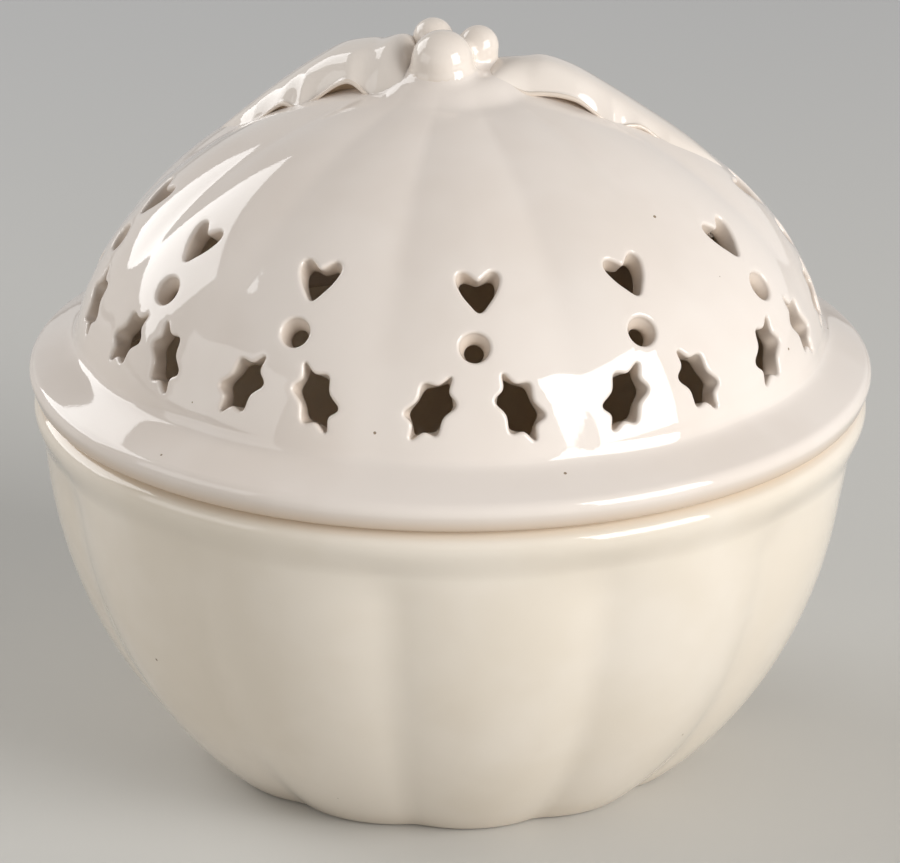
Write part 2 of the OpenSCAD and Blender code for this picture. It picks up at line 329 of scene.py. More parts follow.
def make_glaze_ripple():
    """Slow swell and fine pebbling of a fired glaze, as a height."""
    group, start, end = new_group(
        "glaze_ripple",
        [("Swell Scale", "Float", 45.0), ("Pebble Scale", "Float", 700.0), ("Pebble", "Float", 0.05)],
        [("Height", "Float", None)],
    )
    place_on = node(group, "TexCoord").outputs["Object"]
    swell, pebble = (
        node(group, "TexNoise", {"Vector": place_on, "Scale": start.outputs[scale], "Detail": 1.0})
        for scale in ("Swell Scale", "Pebble Scale"))
    fine = node(group, "Math", {0: pebble.outputs["Fac"], 1: start.outputs["Pebble"]}, operation="MULTIPLY")
    both = node(group, "Math", {0: swell.outputs["Fac"], 1: fine.outputs[0]}, operation="ADD")
    group.links.new(both.outputs[0], end.inputs["Height"])
    return group


GLAZE_TONE = make_glaze_tone()
GLAZE_SPECKS = make_glaze_specks()
GLAZE_RIPPLE = make_glaze_ripple()
SPECK_BROWN = colour(146, 128, 108)


def placed(tree, group, **inputs):
    """Copy of a node group in a material, with its own values."""
    made = tree.nodes.new("ShaderNodeGroup")
    made.node_tree = group
    for key, value in inputs.items():
        feed(tree, made.inputs[key.replace("_", " ")], value)
    return made


def new_finish(name):
    """Material with its node tree and its surface node."""
    finish = bpy.data.materials.new(name)
    finish.use_nodes = True
    return finish, finish.node_tree, finish.node_tree.nodes["Principled BSDF"]


def make_glaze(name, glaze, cloud, pool_and_shade_colour, speck_share):
    """Clear gloss glaze over a cream body."""
    finish, tree, surface = new_finish(name)
    # Share of pooled glaze and painted shade, set at each point of the mesh
    warm = node(tree, "Attribute", attribute_name="warm").outputs["Fac"]
    tone = placed(tree, GLAZE_TONE, Glaze=glaze, Cloud=cloud, Pooled=pool_and_shade_colour, Warm=warm, Cloud_Scale=28.0)
    specks = placed(tree, GLAZE_SPECKS, Scale=143.0, Size=0.062, Share=speck_share)
    ripple = placed(tree, GLAZE_RIPPLE, Swell_Scale=38.0, Pebble_Scale=900.0, Pebble=0.02)
    tree.links.new(mixed(tree, specks.outputs["Specks"], tone.outputs["Colour"], SPECK_BROWN),
                   surface.inputs["Base Color"])
    haze = node(tree, "TexNoise", {"Scale": 60.0, "Detail": 2.0})
    tree.links.new(node(tree, "TexCoord").outputs["Object"], haze.inputs["Vector"])
    gloss = node(tree, "MapRange", {"Value": haze.outputs["Fac"], "To Min": 0.03, "To Max": 0.055})
    tree.links.new(gloss.outputs["Result"], surface.inputs["Roughness"])
    bump = node(tree, "Bump", {"Height": ripple.outputs["Height"], "Strength": 0.35, "Distance": 0.0006})
    tree.links.new(bump.outputs["Normal"], surface.inputs["Normal"])
    surface.inputs["IOR"].default_value = 1.5
    return finish


def make_biscuit():
    """Bare fired clay of the ring that stands on the table."""
    finish, tree, surface = new_finish("foot_biscuit")
    tone = placed(tree, GLAZE_TONE, Glaze=colour(216, 200, 174), Cloud=colour(196, 176, 146),
                  Pooled=colour(180, 158, 128), Warm=0.0, Cloud_Scale=120.0)
    specks = placed(tree, GLAZE_SPECKS, Scale=600.0, Size=0.2, Share=0.25)
    ripple = placed(tree, GLAZE_RIPPLE, Swell_Scale=400.0, Pebble_Scale=2600.0, Pebble=0.6)
    tree.links.new(mixed(tree, specks.outputs["Specks"], tone.outputs["Colour"], SPECK_BROWN),
                   surface.inputs["Base Color"])
    bump = node(tree, "Bump", {"Height": ripple.outputs["Height"], "Strength": 0.4, "Distance": 0.0003})
    tree.links.new(bump.outputs["Normal"], surface.inputs["Normal"])
    surface.inputs["Roughness"].default_value = 0.85
    return finish


bowl_glaze = make_glaze("bowl_cream_glaze", colour(228, 219, 206), colour(223, 213, 198),
                        colour(201, 172, 136), 0.3)
lid_glaze = make_glaze("lid_cream_glaze", colour(228, 218, 209), colour(223, 212, 202),
                       colour(196, 170, 140), 0.36)
sprig_glaze = make_glaze("sprig_cream_glaze", colour(228, 218, 208), colour(223, 212, 201),
                         colour(196, 170, 138), 0.1)
# A warmer copy of the cream glaze for the insides; its added warmth is painted shade, the brown the shaded
# insides take
inside_glaze_shade_tint = make_glaze("inside_cream_glaze_shade_tint", colour(240, 222, 196), colour(236, 215, 186),
                          colour(201, 172, 136), 0.2)
biscuit = make_biscuit()

# Numbers of a piece's finishes
OUTSIDE, INSIDE, BARE = 0, 1, 2


# Bowl

def wall_at(z):
    """Radius of the bowl's wall over its lobes' crests."""
    return WALL_R * np.sqrt(1 - ((WALL_Z - z) / WALL_B) ** 2)


def bowl_lobe(z):
    """Depth of the bowl's lobes, which fade in under the collar."""
    return BOWL_LOBE * smooth((WALL_Z - z) / LOBE_FADE)


def bowl_profile():
    """Bowl's section from the middle of its floor, over the rim and down to the middle of the base: radius,
    height, depth of the lobes, share of pooled glaze and painted shade, and number of the finish."""
    rows = []

    def run(line, depth=0.0, warm=0.0, finish=OUTSIDE):
        line = np.asarray(line)
        extra = [np.broadcast_to(v, len(line)) for v in (depth, warm, finish)]
        rows.append(np.column_stack([line, *extra]))

    t = np.radians(np.linspace(88, 0, 60))
    in_z = WALL_Z - (WALL_B - BOWL_WALL) * np.sin(t)
    in_z = (in_z + FLOOR_Z + np.sqrt((in_z - FLOOR_Z) ** 2 + FLOOR_ROUND ** 2)) / 2
    fade = smooth((WALL_Z - 4 - in_z) / 12) * smooth((in_z - FLOOR_Z) / 14)
    run(np.column_stack([MOUTH_R * np.cos(t), in_z]), BOWL_LOBE / 2 * fade, 0.0, INSIDE)
    # Pooled glaze and painted shade warm and darken the mouth's rounding up to the seat, under the lid
    mouth = arc(MOUTH_R + MOUTH_ROUND, RIM_Z - MOUTH_ROUND, MOUTH_ROUND, 180, 90, 7)
    run(mouth, warm=np.linspace(0, 0.7, len(mouth)))
    # Painted shade under the lid's flange: the rim's top is warm and dark at the seat and fades over the
    # bead
    bead = arc(COLLAR_R - BEAD_ROUND, BEAD_Z, BEAD_ROUND, 48, 0, 12)
    rim = evenly(np.array([[MOUTH_R + 1.3, RIM_Z], [bead[0, 0] - 2.0, RIM_Z], bead[0]]), 0.25)
    rim = np.concatenate([eased(rim, 6), bead[1:]])
    run(rim, warm=0.75 - 0.7 * smooth(np.linspace(-0.2, 1.3, len(rim))))
    z = BEAD_Z - np.linspace(0, 1, 26)[1:] * COLLAR_RUN
    collar = (COLLAR_R - wall_at(BEAD_Z)) * (1 - smooth((BEAD_Z - z) / COLLAR_RUN))
    run(np.column_stack([wall_at(z) + collar, z]), bowl_lobe(z), 0.03)
    lean = math.atan(wall_at(1.5) - wall_at(0.5))
    low_z = FOOT_ROUND * (1 - math.sin(lean))
    z = np.linspace(BEAD_Z - COLLAR_RUN, low_z, 70)[1:]
    # Painted shade near the floor: the wall gets warmer and darker toward the foot
    run(np.column_stack([wall_at(z), z]), bowl_lobe(z), 0.03 + 0.15 * smooth((7 - z) / 7))
    foot_r = wall_at(low_z) - FOOT_ROUND * math.cos(lean)
    # Painted shade under the foot, on its ring and in the recess
    run(arc(foot_r, FOOT_ROUND, FOOT_ROUND, -math.degrees(lean), -90, 10)[1:], BOWL_LOBE, 0.2)
    ring_r = FOOT_R - FOOT_ROUND - BOWL_LOBE - FOOT_RING
    fade = np.linspace(1, 0, 5)
    ring = np.column_stack([np.linspace(foot_r - 0.6, ring_r + RECESS_ROUND, 5), np.zeros(5)])
    run(ring, BOWL_LOBE * fade, 0.4, [BARE] * 4 + [OUTSIDE])
    run(arc(ring_r, RECESS_ROUND, RECESS_ROUND, -90, 0, 5)[1:], warm=0.3)
    run(arc(ring_r - RECESS_ROUND, FOOT_RECESS - RECESS_ROUND, RECESS_ROUND, 0, 90, 6), warm=0.2)
    run([[ring_r * share, FOOT_RECESS] for share in (0.7, 0.4, 0.1)], warm=0.1)
    return np.concatenate(rows)


def make_bowl():
    """Bowl turned from its section, with lobes that the hand made a little uneven."""
    profile = bowl_profile()
    clay = Clay()
    dip = lobe_dip(RING, BOWL_VALLEY, BOWL_FULL)
    hand = 1 + 0.07 * np.sin(2 * RING + 0.6) + 0.05 * np.sin(5 * RING)
    radius = profile[:, :1] - profile[:, 2:3] * dip * hand
    grid = place(radius, RING + BOWL_TURN, profile[:, 1:2])
    first, last = clay.rings(grid, profile[:, 3], profile[:, 4])
    clay.cap(first, COLUMNS, (0, 0, profile[0, 1]), 0, True, INSIDE)
    clay.cap(last, COLUMNS, (0, 0, profile[-1, 1]), 0.1, False)
    return clay.piece("bowl_shell", bowl_glaze, inside_glaze_shade_tint, biscuit)


# Lid

def dome_height(r):
    """Height of the plain dome at a radius."""
    return SPRING_Z + DOME_H * (1 - (r / DOME_R) ** DOME_FULL) ** (1 / DOME_FULL)


def lid_crest():
    """Section of the lid's outside over a crest, from the middle of its pad to its seat:
    radius, height and depth of the lobes at evenly spaced points."""
    r = np.linspace(0, STEEP_R, 300)
    pad = 1 - smooth((r - PAD_R) / (PAD_FOOT_R - PAD_R))
    upper = np.column_stack([r, dome_height(r) + (PAD_Z - dome_height(r)) * pad])
    z = np.linspace(upper[-1, 1], COVE_Z, 60)[1:]
    lower = np.column_stack([DOME_R * (1 - ((z - SPRING_Z) / DOME_H) ** DOME_FULL) ** (1 / DOME_FULL), z])
    edge = np.concatenate([arc(FLANGE_R - EDGE_R, EDGE_Z, EDGE_R, EDGE_TOP, -15, 26),
                           arc(UNDER_R, UNDER_Z, UNDER_ROUND, -17, -90, 10)])
    t = np.linspace(0, 1, 40)[:, None]
    land = np.array([math.sin(math.radians(EDGE_TOP)), -math.cos(math.radians(EDGE_TOP))])
    pulls = [lower[-1], lower[-1] + COVE_LEAVES, edge[0] - COVE_LAND * land, edge[0]]
    weights = [(1 - t) ** 3, 3 * t * (1 - t) ** 2, 3 * t * t * (1 - t), t ** 3]
    cove = sum(weight * pull for weight, pull in zip(weights, pulls))
    line = eased(evenly(np.concatenate([upper, lower, cove[1:]]), SECTION_STEP), 16)
    line = evenly(np.concatenate([line, edge[1:]]), SECTION_STEP)
    r, z = line.T
    run = np.arange(len(line))
    cove_from = np.flatnonzero((z < COVE_Z) & (r > STEEP_R))[0]
    cove_to = np.flatnonzero(r > FLANGE_R - 1.5)[0]
    fade = np.clip(1 - (run - cove_from) / (cove_to - cove_from), 0, 1)
    low = 1 - LOBE_DROP * smooth((r - LOBE_DROP_R) / (DOME_R - LOBE_DROP_R))
    depth = LID_LOBE * smooth((r - LOBE_START_R) / LOBE_GROWTH) * low * fade ** COVE_FADE
    return r, z, depth


CREST_R, CREST_Z, CREST_DEPTH = lid_crest()
CREST_RUN = np.concatenate([[0], np.cumsum(np.hypot(np.diff(CREST_R), np.diff(CREST_Z)))])
LID_END = CREST_RUN[-1]
NEAR_RUN, NEAR_ANGLE = 0.3, 0.003


def lid_point(angle, run):
    """Point on the lid's outside, at an angle and a run down from its middle. The hand made the lobes a
    little uneven."""
    r = np.interp(run, CREST_RUN, CREST_R)
    hand = 1 + 0.12 * np.sin(3 * angle + 1.0)
    r = r - np.interp(run, CREST_RUN, CREST_DEPTH) * lobe_dip(angle, LID_VALLEY, LID_FULL) * hand
    return place(r, angle, np.interp(run, CREST_RUN, CREST_Z))


def lid_normal(angle, run):
    """Direction square to the lid's outside."""
    down = lid_point(angle, run + NEAR_RUN) - lid_point(angle, run - NEAR_RUN)
    along = lid_point(angle + NEAR_ANGLE, run) - lid_point(angle - NEAR_ANGLE, run)
    out = np.cross(down, along)
    return out / np.linalg.norm(out, axis=-1, keepdims=True)


def lid_inside(angle, run):
    """Point on the lid's inside, opposite one on its outside."""
    r = np.minimum(np.interp(run, CREST_RUN, CREST_R), DOME_R)
    t = np.arccos((r / DOME_R) ** (DOME_FULL / 2))
    in_r = (DOME_R - LID_WALL) * np.cos(t) ** (2 / DOME_FULL)
    in_z = SPRING_Z + (DOME_H - LID_WALL) * np.sin(t) ** (2 / DOME_FULL)
    in_r = in_r - np.interp(run, CREST_RUN, CREST_DEPTH) * lobe_dip(angle, LID_VALLEY, LID_FULL)
    return place(in_r, angle, in_z)


def run_at(z):
    """Run down the dome to a height."""
    on_dome = CREST_R > PAD_FOOT_R + 2
    return np.interp(-z, -CREST_Z[on_dome], CREST_RUN[on_dome])


ROUND_R = 3.0
ROUND_POINTS = 40
OUTLINE_STEP = 0.01
GROW_STEP = 0.1


def loop_through(corners, count, easing):
    """Closed outline of evenly spaced points through corners, with its bends eased."""
    corners = np.asarray(corners, float)
    line = evenly(np.concatenate([corners, corners[:1]]), OUTLINE_STEP)[:-1]
    line = evenly(np.concatenate([line, line[:1]]), len(line) * OUTLINE_STEP / count)
    return eased_loop(line[:count], easing)


def curve_between(points, step=0.08):
    """Smooth curve through a closed row of points."""
    points = np.asarray(points, float)
    made = []
    for i in range(len(points)):
        a, b, c, d = (points[(i + k) % len(points)] for k in (-1, 0, 1, 2))
        for t in np.arange(0, 1, step):
            made.append(0.5 * (2 * b + (c - a) * t + (2 * a - 5 * b + 4 * c - d) * t * t
                               + (3 * b - a - 3 * c + d) * t ** 3))
    return np.array(made)


def heart_outline():
    """Heart with two upright ears, its middle at the origin. All outlines run anticlockwise."""
    half = [(0, 2.3), (1.15, 3.35), (2.75, 4.5), (3.95, 3.9), (4.3, 2.2), (3.25, -0.6), (1.75, -2.75),
            (0.45, -4.35)]
    other = [(-x, y) for x, y in half[1:]]
    return loop_through(curve_between(half[::-1] + other)[::-1], 72, 3)[::-1]


def round_outline():
    """Round hole, its middle at the origin."""
    a = np.arange(ROUND_POINTS) * 2 * math.pi / ROUND_POINTS
    return ROUND_R * np.column_stack([np.cos(a), np.sin(a)])


def holly_outline():
    """Holly leaf with a tip at each end and two blunt spines on each side."""
    half = [(0, 7.4), (1.25, 4.5), (3.85, 3.2), (3.0, -0.2), (3.85, -3.8), (1.35, -4.6), (0, -7.4)]
    other = [(-x, y) for x, y in half[-2:0:-1]]
    return loop_through(curve_between(half + other)[::-1], 108, 2)


def grown(outline, reach):
    """Outline moved outwards by a reach, with its bends eased on the way."""
    line = outline.copy()
    steps = max(1, int(abs(reach) / GROW_STEP))
    for _ in range(steps):
        along = np.roll(line, -1, 0) - np.roll(line, 1, 0)
        out = np.column_stack([along[:, 1], -along[:, 0]])
        out /= np.linalg.norm(out, axis=1, keepdims=True)
        line = line + out * reach / steps
        line = line * 0.8 + (np.roll(line, 1, 0) + np.roll(line, -1, 0)) * 0.1
    return line


def narrowed(outline, taper, rounds):
    """Outline of a hole at the inside of the wall: narrower, and plainer for each round of easing."""
    return eased_loop(outline * taper, rounds)


# Each hole as it is cut on the outside and as it comes out inside; the round one slopes down inside
HEART, ROUND, HOLLY = [(cut, narrowed(cut, *how)) for cut, how in (
    (heart_outline(), (0.95, 24)), (round_outline(), (0.68, 0)), (holly_outline(), (0.97, 30)))]
ROUND_SLOPE = 0.5
ROUND[1][:, 1] -= ROUND_SLOPE

HEART_LEVEL, ROUND_LEVEL, HOLLY_LEVEL = 40.1, 31.4, 21.0
ROUND_SIDE, HOLLY_LEFT, HOLLY_RIGHT = -0.8, -9.2, 7.4
LEAN_LEFT, LEAN_RIGHT = math.radians(-32), math.radians(23)
LIP_ROUND = 0.8
INNER_ROUND = 0.4
CUT_TAPER = 2.1
LEFT_RISE = 0.7

# The holes are cut by hand: how far the heart, the round hole and the two leaves of a group in view
# sit beside their marks, in millimetres, by the group's number from the front one
SLIPS = {
    -3: (0.3, 1.0, 0.0, 1.5),
    -2: (-1.0, -0.2, 2.0, -0.6),
    -1: (-0.2, -0.4, -1.2, -1.5),
    0: (0.8, 0.3, -0.2, 0.5),
    1: (0.9, -0.4, 0.6, 1.5),
    2: (0.0, 1.3, 2.0, 2.6),
    3: (0.0, 0.0, 1.0, 0.5),
}


def hole_places(group):
    """Cut, middle and turn of each hole in a group; the marks run a little higher on the left."""
    number = (group + LOBES // 2) % LOBES - LOBES // 2
    heart, dot, left, right = SLIPS.get(number, [0.8 * math.sin(2.4 * group + 1.7 * k) for k in range(4)])
    rise = -LEFT_RISE * math.sin(group * PITCH)
    return [
        (HEART, heart, HEART_LEVEL + rise / 2, 0.06 * math.sin(2.4 * group)),
        (ROUND, ROUND_SIDE + dot, ROUND_LEVEL + rise, 0.0),
        (HOLLY, HOLLY_LEFT + left, HOLLY_LEVEL + rise, LEAN_LEFT + 0.05 * math.sin(3.1 * group)),
        (HOLLY, HOLLY_RIGHT + right, HOLLY_LEVEL + rise, LEAN_RIGHT + 0.05 * math.sin(1.9 * group)),
    ]


def hole_rings(cut, side, level, turn, group):
    """Rings of a cut hole from its rounded lip through the wall: the lip's angles and runs, and all the
    points."""
    run0 = run_at(BOWL_H + level)
    angle0 = group * PITCH + side / np.interp(run0, CREST_RUN, CREST_R)
    spin = np.array([[math.cos(turn), math.sin(turn)], [-math.sin(turn), math.cos(turn)]])
    outline, inner = (line @ spin for line in cut)
    rings = []
    for phi in np.radians([0, 20, 40, 60, 78, 90]):
        rings.append((grown(outline, LIP_ROUND * (1 - math.sin(phi))), LIP_ROUND * (1 - math.cos(phi))))
    inner_depth = LID_WALL - INNER_ROUND
    for depth in (1.2, 1.7, 2.2, 2.9, inner_depth):
        share = min(1, (depth - LIP_ROUND) / CUT_TAPER)
        rings.append((outline * (1 - share) + inner * share, depth))
    for phi in np.radians([40, 90]):
        flare = INNER_ROUND * (1 - math.cos(phi))
        rings.append((grown(inner, flare), inner_depth + INNER_ROUND * math.sin(phi)))
    points = []
    for line, depth in rings:
        run = run0 - line[:, 1]
        angle = angle0 + line[:, 0] / np.interp(run, CREST_RUN, CREST_R)
        points.append(lid_point(angle, run) - depth * lid_normal(angle, run))
        if len(points) == 1:
            lip = np.column_stack([angle, run])
    return lip, np.array(points)


# Pierced band of the dome; its angles are laid flat at one radius to join the holes to the rest
BAND_TOP_Z, BAND_END_Z = 129.0, 89.6
BAND_TOP, BAND_END = run_at(BAND_TOP_Z), run_at(BAND_END_Z)
BAND_R = 66.0
BAND_ROWS = 46
LIP_GAP = 0.6


def inside_loop(points, loop):
    """True for the points inside a closed loop."""
    a, b = loop, np.roll(loop, -1, 0)
    x, y = points[:, :1], points[:, 1:]
    crosses = (a[:, 1] > y) != (b[:, 1] > y)
    with np.errstate(divide="ignore", invalid="ignore"):
        at = a[:, 0] + (y - a[:, 1]) * (b[:, 0] - a[:, 0]) / (b[:, 1] - a[:, 1])
    return np.sum(crosses & (x < at), axis=1) % 2 == 1


def pierced_sector(clay, group):
    """One lobe of the pierced band, outside and inside, with its four holes."""
    holes = [hole_rings(*hole, group) for hole in hole_places(group)]
    angles = (group - 0.5) * PITCH + np.arange(LOBE_COLUMNS + 1) * PITCH / LOBE_COLUMNS
    runs = np.linspace(BAND_TOP, BAND_END, BAND_ROWS + 1)
    across, down = np.meshgrid(angles, runs)
    edge = np.zeros(across.shape, bool)
    edge[0], edge[-1], edge[:, 0], edge[:, -1] = True, True, True, True
    spots = np.column_stack([across.ravel(), down.ravel()])
    scale = np.array([BAND_R, 1.0])
    keep = np.ones(len(spots), bool)
    for lip, _ in holes:
        gap = np.linalg.norm((spots * scale)[:, None] - (lip * scale)[None], axis=2).min(1)
        keep &= (gap > LIP_GAP) & ~inside_loop(spots * scale, lip * scale)
    spots = spots[keep | edge.ravel()]
    flat = [spots] + [lip for lip, _ in holes]
    starts = np.cumsum([0] + [len(f) for f in flat])
    flat = np.concatenate(flat)
    loops = [list(range(starts[i + 1], starts[i + 2]))[::-1] for i in range(len(holes))]
    made = delaunay_2d_cdt([Vector(p) for p in flat * scale], [], loops, 0, 1e-5)
    source = [found[0] for found in made[3]]
    outside = lid_point(*spots.T)
    inside = lid_inside(*spots.T)
    out_at = list(range(clay.add(outside, 0.0), clay.count))
    in_at = list(range(clay.add(inside, 0.0), clay.count))
    for _, points in holes:
        rows, count = points.shape[:2]
        # Painted shade in the hole walls: darker and warmer deeper in, with a little pooled glaze at the lip
        warm = np.interp(np.arange(rows), [0, 2, 5, 10, rows - 1], [0, 0.04, 0.25, 0.5, 0.3])
        first, last = clay.rings(points, warm, inward=True)
        out_at += range(first, first + count)
        in_at += range(last, last + count)
    for corners, found in zip(made[2], made[5]):
        if not found:
            a, b, c = (source[i] for i in corners)
            clay.face(out_at[a], out_at[c], out_at[b])
            clay.face(in_at[a], in_at[b], in_at[c], finish=INSIDE)


# Sprig on the crown

BERRIES = {
    "front": (Vector((-2.2, -3.9, PAD_Z + 2.52)), 6.25),
    "right": (Vector((5.6, 3.7, PAD_Z + 3.3)), 4.1),
    "back": (Vector((-3.2, 8.0, PAD_Z + 3.75)), 4.1),
}
# Glaze in the creases of the sprig, in millimetres, and the rounds in which a skin settles on it
FILLET = 3.4
SKIN_DIP = 0.4
CREASE = 0.25
DIP_RUN = 1.4
SETTLE_ROUNDS = 60
SETTLE_STEP = 0.7
FILL_LIMIT = 2.5
FILL_R = 20.0
BERRY_REACH = 2.0


def crown_height(x, y):
    """Height of the lid's outside under a point of the sprig."""
    r = np.hypot(x, y)
    top = CREST_R < 0.9 * DOME_R
    depth = np.interp(r, CREST_R[top], CREST_DEPTH[top])
    dip = depth * lobe_dip(np.arctan2(x, -y), LID_VALLEY, LID_FULL)
    return np.interp(r + dip, CREST_R[top], CREST_Z[top])


def skin_gap(points, own):
    """Height of points over the skin of one part of the sprig: 0 is the crown, then come the berries.
    Glaze fills the creases between the parts, and a part's skin dips under the next one's beyond the
    crease."""
    parts = [points[..., 2] - crown_height(points[..., 0], points[..., 1])]
    for middle, radius in BERRIES.values():
        parts.append(np.linalg.norm(points - np.array(middle), axis=-1) - radius)
    filled = parts[0]
    for part in parts[1:]:
        near = np.clip(FILLET - np.abs(filled - part), 0, None)
        filled = np.minimum(filled, part) - near ** 2 / (4 * FILLET)
    others = np.min(parts[:own] + parts[own + 1:], axis=0)
    return filled + SKIN_DIP * smooth((parts[own] - others - CREASE) / DIP_RUN)


def filled_height(points):
    """Heights of points on the crown, raised to the glaze that fills the berries' feet."""
    raised = points.copy()
    for _ in range(SETTLE_ROUNDS):
        raised[..., 2] -= SETTLE_STEP * skin_gap(raised, 0)
    near = np.hypot(points[..., 0], points[..., 1]) < FILL_R
    found = (raised[..., 2] - points[..., 2] < FILL_LIMIT) & near
    return np.where(found, raised[..., 2], points[..., 2])


def make_berry(name, own):
    """Berry pressed onto the crown, with its creases filled."""
    middle, radius = list(BERRIES.values())[own - 1]
    leans, turns = np.radians(np.linspace(2, 178, 72)), np.radians(np.arange(0, 360, 4))
    lean, turn = np.meshgrid(leans, turns, indexing="ij")
    out = np.stack([np.sin(lean) * np.cos(turn), np.sin(lean) * np.sin(turn), np.cos(lean)], -1)
    reach = np.full(lean.shape, radius)
    for _ in range(SETTLE_ROUNDS):
        gap = skin_gap(np.array(middle) + reach[..., None] * out, own)
        reach = np.minimum(reach - SETTLE_STEP * gap, radius + BERRY_REACH)
    reach = np.where(reach < radius + BERRY_REACH - 0.1, reach, radius / 2)
    points = np.array(middle) + reach[..., None] * out
    # Painted shade and pooled glaze at the berry's foot, in the crease with the crown
    warm = 0.05 + 0.4 * smooth((PAD_Z + 1.2 - points[..., 2]) / 2)
    clay = Clay()
    first, last = clay.rings(points, warm)
    clay.cap(first, len(turns), points[0].mean(0), 0.05, True)
    clay.cap(last, len(turns), points[-1].mean(0), 0.3, False)
    return clay.piece(name, sprig_glaze)


def make_leaf(name, turn, marks, arcs):
    """Plump holly leaf modelled on the dome. Its sides run out into the dome, but where the arcs between
    its spines lift off. A mark is a distance from the axis, and the leaf's half width and height there.
    An arc is its two ends, where it is highest as a share of its length, its lift, and how deep it is
    open as a share of the half width."""
    thick, spike, sunk, buried = 1.1, 1.7, 0.2, 0.4
    marks = np.array(marks)
    s = np.linspace(marks[0, 0], marks[-1, 0], 140)
    half, tall = (eased(np.column_stack([s, np.interp(s, marks[:, 0], column)]), 50)[:, 1]
                  for column in marks.T[1:])
    lifted, deep, lift = np.zeros(len(s)), np.full(len(s), 0.1), np.zeros(len(s))
    for start, end, peak, high, reach in arcs:
        q = np.clip((s - start) / (end - start), 0, 1)
        half = half - 4 * q * (1 - q) * spike
        lifted = lifted + smooth(q / peak) * smooth((1 - q) / (1 - peak))
        within = (q > 0) & (q < 1)
        deep, lift = np.where(within, reach, deep), np.where(within, high, lift)
    v = np.linspace(-1, 1, 57)
    side = np.abs(v)
    turn_round = np.radians(np.linspace(90, -90, 9))[1:-1]
    rings = []
    for k in range(len(s)):
        w = lifted[k]
        edge = -sunk + (lift[k] + thick + sunk) * w
        closed = tall[k] * (1 - side ** 4) ** 1.4 - 0.25 * side ** 8
        raised = edge + np.maximum(tall[k] - edge, 0) * (1 - side ** 4)
        under = -buried + (edge - thick + buried) * smooth((side - 1 + deep[k]) / (0.8 * deep[k]))
        out = half[k] + thick / 2 * np.cos(turn_round) * smooth(3 * w)
        right = np.column_stack([out, edge - thick / 2 * (1 - np.sin(turn_round))])
        left = np.column_stack([-right[::-1, 0], right[::-1, 1]])
        rings.append(np.concatenate([np.column_stack([v * half[k], (1 - w) * closed + w * raised]), right,
                                     np.column_stack([-v * half[k], under]), left]))
    rings = np.array(rings)
    t = rings[..., 0]
    x = s[:, None] * math.sin(turn) + t * math.cos(turn)
    y = -s[:, None] * math.cos(turn) + t * math.sin(turn)
    points = np.stack([x, y, crown_height(x, y) + rings[..., 1]], -1)
    # Painted shade under the leaf: the undersides of its arcs and caves are dark and warm, with pooled glaze
    # on the turned edges
    warm = np.zeros(rings.shape[:2])
    warm[:, len(v):] = 0.3
    warm[:, len(v) + len(turn_round):-len(turn_round)] = 0.9
    clay = Clay()
    first, last = clay.rings(points, warm)
    for ring, middle, up in ((first, points[0].mean(0), True), (last, points[-1].mean(0), False)):
        clay.cap(ring, points.shape[1], middle, 0.2, up)
    return clay.piece(name, sprig_glaze)


def make_lid():
    """Crown, pierced band and skirt outside, then the locating lip and the inside back up to the crown."""
    clay = Clay()
    crown = np.concatenate([np.linspace(1.0, 17.0, 46), np.linspace(17.6, BAND_TOP, 48)])
    outside = lid_point(RING, crown[:, None])
    outside[..., 2] = filled_height(outside)
    first, _ = clay.rings(outside, 0.0)
    clay.cap(first, COLUMNS, (0, 0, PAD_Z), 0.0, True)
    for group in range(LOBES):
        pierced_sector(clay, group)
    skirt = np.linspace(BAND_END, LID_END, 44)
    outside = lid_point(RING, skirt[:, None])
    # Painted shade under the flange's edge, with pooled glaze: warmer and darker toward the seat
    skirt_warm = 0.75 * smooth((skirt - (LID_END - POOL_AND_SHADE_RUN)) / POOL_AND_SHADE_RUN)
    lip_in = LIP_R - LIP_WALL
    corner_z = BOWL_H - LIP_DEPTH + LIP_CORNER
    lip = np.concatenate([
        [[LIP_R + 0.6, BOWL_H]],
        arc(LIP_R - LIP_CORNER, corner_z, LIP_CORNER, 0, -90, 6),
        arc(lip_in + LIP_CORNER, corner_z, LIP_CORNER, -90, -180, 6),
        [[lip_in, BOWL_H], [lip_in - 0.2, BOWL_H + 4]],
    ])
    lip_rings = place(lip[:, :1], RING, lip[:, 1:])
    inside = lid_inside(RING, np.full((1, COLUMNS), BAND_END))
    # The locating lip under the lid gets painted shade and pooled glaze as well
    warm = np.concatenate([skirt_warm, np.full(len(lip), 0.6), [0.0]])
    clay.rings(np.concatenate([outside, lip_rings, inside]), warm)
    _, last = clay.rings(lid_inside(RING, crown[::-1, None]), 0.0, INSIDE)
    clay.cap(last, COLUMNS, (0, 0, SPRING_Z + DOME_H - LID_WALL), 0.0, False, INSIDE)
    return clay.piece("lid_shell", lid_glaze, inside_glaze_shade_tint)


